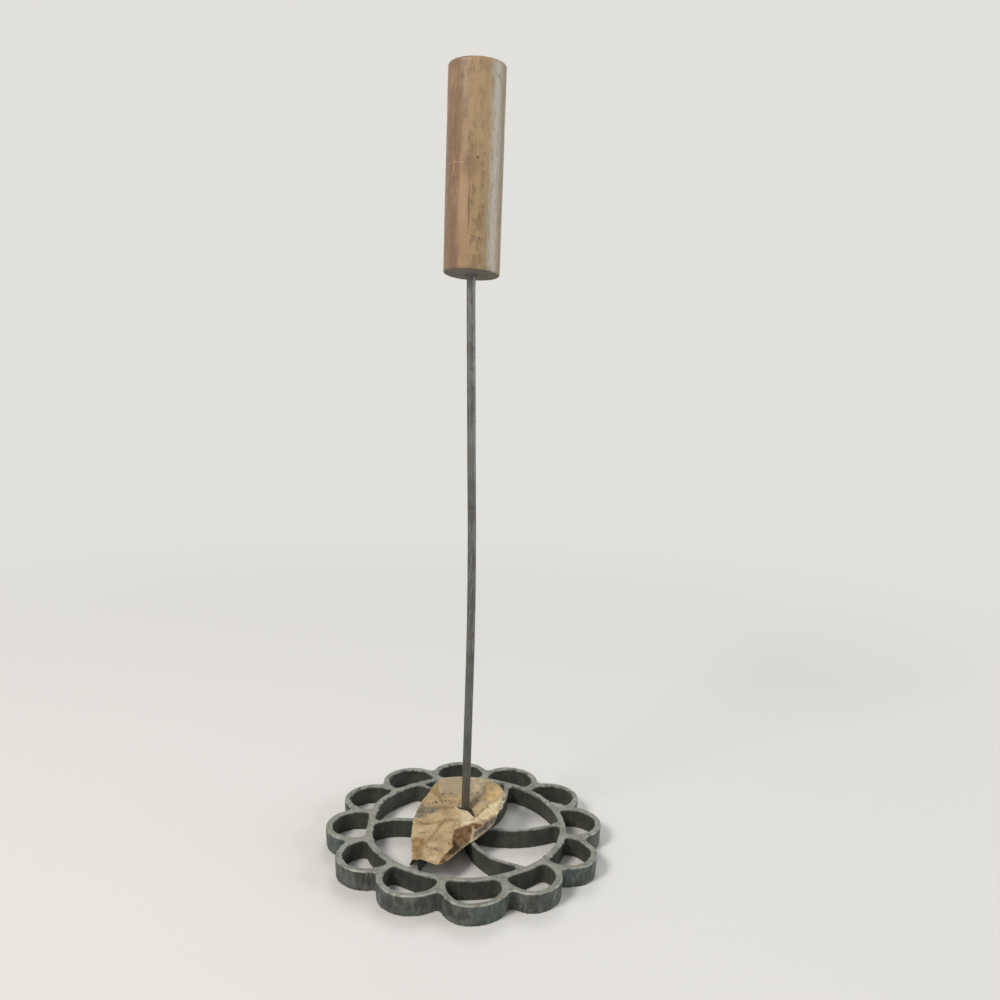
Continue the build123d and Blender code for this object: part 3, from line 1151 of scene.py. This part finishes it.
def make_paper():
    piece = folded_sheet()
    mesh = piece.data
    loops = {zone: (soft, names.split()) for zone, (soft, _, _, names) in zones.items()}
    loops["arch_hollow_shadow"] = (arch_soft, arch_shade.split())
    lines = {
        "folded": (fold_shade_width, [places(chain) for chain in shaded_folds]),
        "ridge": (ridge_width, [places(chain) for chain in highlit_ridges]),
    }
    rim = places(closed(edge))
    looks = {name: [] for name in (*loops, "rim", *lines)}
    moves = []
    for vertex in mesh.vertices:
        place = vertex.co
        flat = Vector((place.x / mm, place.y / mm))
        wander = level_ripple(place, zone_wander_size, 11.0).xy
        for name, (soft, names) in loops.items():
            looks[name].append(zone_depth(flat + wander * soft, names, soft))
        to_rim = distance_to_chain(flat, rim)
        looks["rim"].append(max(0.0, 1 - to_rim / rim_width))
        for name, (width, chains) in lines.items():
            nearest = min(distance_to_chain(flat, chain) for chain in chains)
            looks[name].append(max(0.0, 1 - nearest / width))
        move = vertex.normal * paper_crumple * crumpled(place)
        if to_rim < ragged_width:
            ragged = paper_raggedness + looks["torn"][-1] * (torn_raggedness - paper_raggedness)
            outward = level_ripple(place, ragged_size, 21.0)
            move += outward * (1 - to_rim / ragged_width) * ragged
        moves.append(move)
    for vertex, move in zip(mesh.vertices, moves):
        vertex.co += move
    for name, values in looks.items():
        point_values(mesh, name, values)
    solid = piece.modifiers.new("thickness", "SOLIDIFY")
    solid.thickness = paper_thickness
    solid.offset = 0
    applied(piece).shade_smooth()
    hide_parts("paper_label")
    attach(piece, "label")


# Floor, lamps, world and camera


def rays_that_see(tree):
    """1 for camera, glossy and transmission rays, and 0 for the rays that light the object."""
    rays = new_node(tree, "LightPath").outputs
    seen = rays["Is Camera Ray"]
    for ray in ("Is Glossy Ray", "Is Transmission Ray"):
        seen = new_node(tree, "Math", {0: seen, 1: rays[ray]}, use_clamp=True).outputs[0]
    return seen


def make_floor():
    mesh = bpy.data.meshes.new("floor")
    shape = bmesh.new()
    bmesh.ops.create_circle(shape, cap_ends=True, segments=floor_sides, radius=floor_radius)
    shape.to_mesh(mesh)
    shape.free()
    look = Look("pale_floor", Roughness=floor_roughness, Base_Color=backdrop_colour)
    away = look.number("LENGTH", look.here)
    far = look.times(look.spread(away, *floor_fade), rays_that_see(look.tree))
    glow = look.node("Emission", {"Color": backdrop_colour, "Strength": 1.0})
    mixer = look.node("MixShader", {0: far, 1: look.shader.outputs[0], 2: glow.outputs[0]})
    put(look.tree, look.tree.nodes["Material Output"].inputs[0], mixer.outputs[0])
    new_piece("floor", mesh, look.material)


def make_lamp(name, place, size, power, colour):
    lamp = bpy.data.lights.new(name, "AREA")
    lamp.shape = "DISK"
    lamp.size = size
    lamp.energy = power
    lamp.color = colour
    light = bpy.data.objects.new(name, lamp)
    light.location = place
    aim = lamp_aim - Vector(place)
    light.rotation_euler = aim.to_track_quat("-Z", "Y").to_euler()
    bpy.context.scene.collection.objects.link(light)


def make_world():
    """A world that lights the object softly and is seen as the backdrop."""
    world = bpy.data.worlds.new("studio")
    bpy.context.scene.world = world
    world.use_nodes = True
    tree = world.node_tree
    tree.nodes.clear()
    lit = new_node(tree, "Background", {"Color": world_colour, "Strength": world_strength})
    seen = new_node(tree, "Background", {"Color": backdrop_colour, "Strength": 1.0})
    skies = {0: rays_that_see(tree), 1: lit.outputs[0], 2: seen.outputs[0]}
    new_node(tree, "OutputWorld", {0: new_node(tree, "MixShader", skies).outputs[0]})


def make_camera():
    across, along = sin(camera_turn) * cos(camera_dip), cos(camera_turn) * cos(camera_dip)
    ahead = Vector((across, along, -sin(camera_dip)))
    level = Vector((cos(camera_turn), -sin(camera_turn), 0))
    upright = level.cross(ahead)
    right = cos(camera_roll) * level + sin(camera_roll) * upright
    up = cos(camera_roll) * upright - sin(camera_roll) * level
    lens = bpy.data.cameras.new("camera")
    lens.lens = camera_lens
    lens.sensor_width = camera_sensor
    lens.clip_start = camera_near
    camera = bpy.data.objects.new("camera", lens)
    turn = Matrix((right, up, -ahead)).transposed().to_4x4()
    camera.matrix_world = Matrix.Translation(camera_place) @ turn
    bpy.context.scene.collection.objects.link(camera)
    bpy.context.scene.camera = camera


make_casting()
make_rod()
make_handle()
make_paper()
make_floor()
for lamp_name, lamp_settings in lamps.items():
    make_lamp(lamp_name, *lamp_settings)
make_world()
make_camera()
bpy.context.scene.view_settings.view_transform = "Standard"
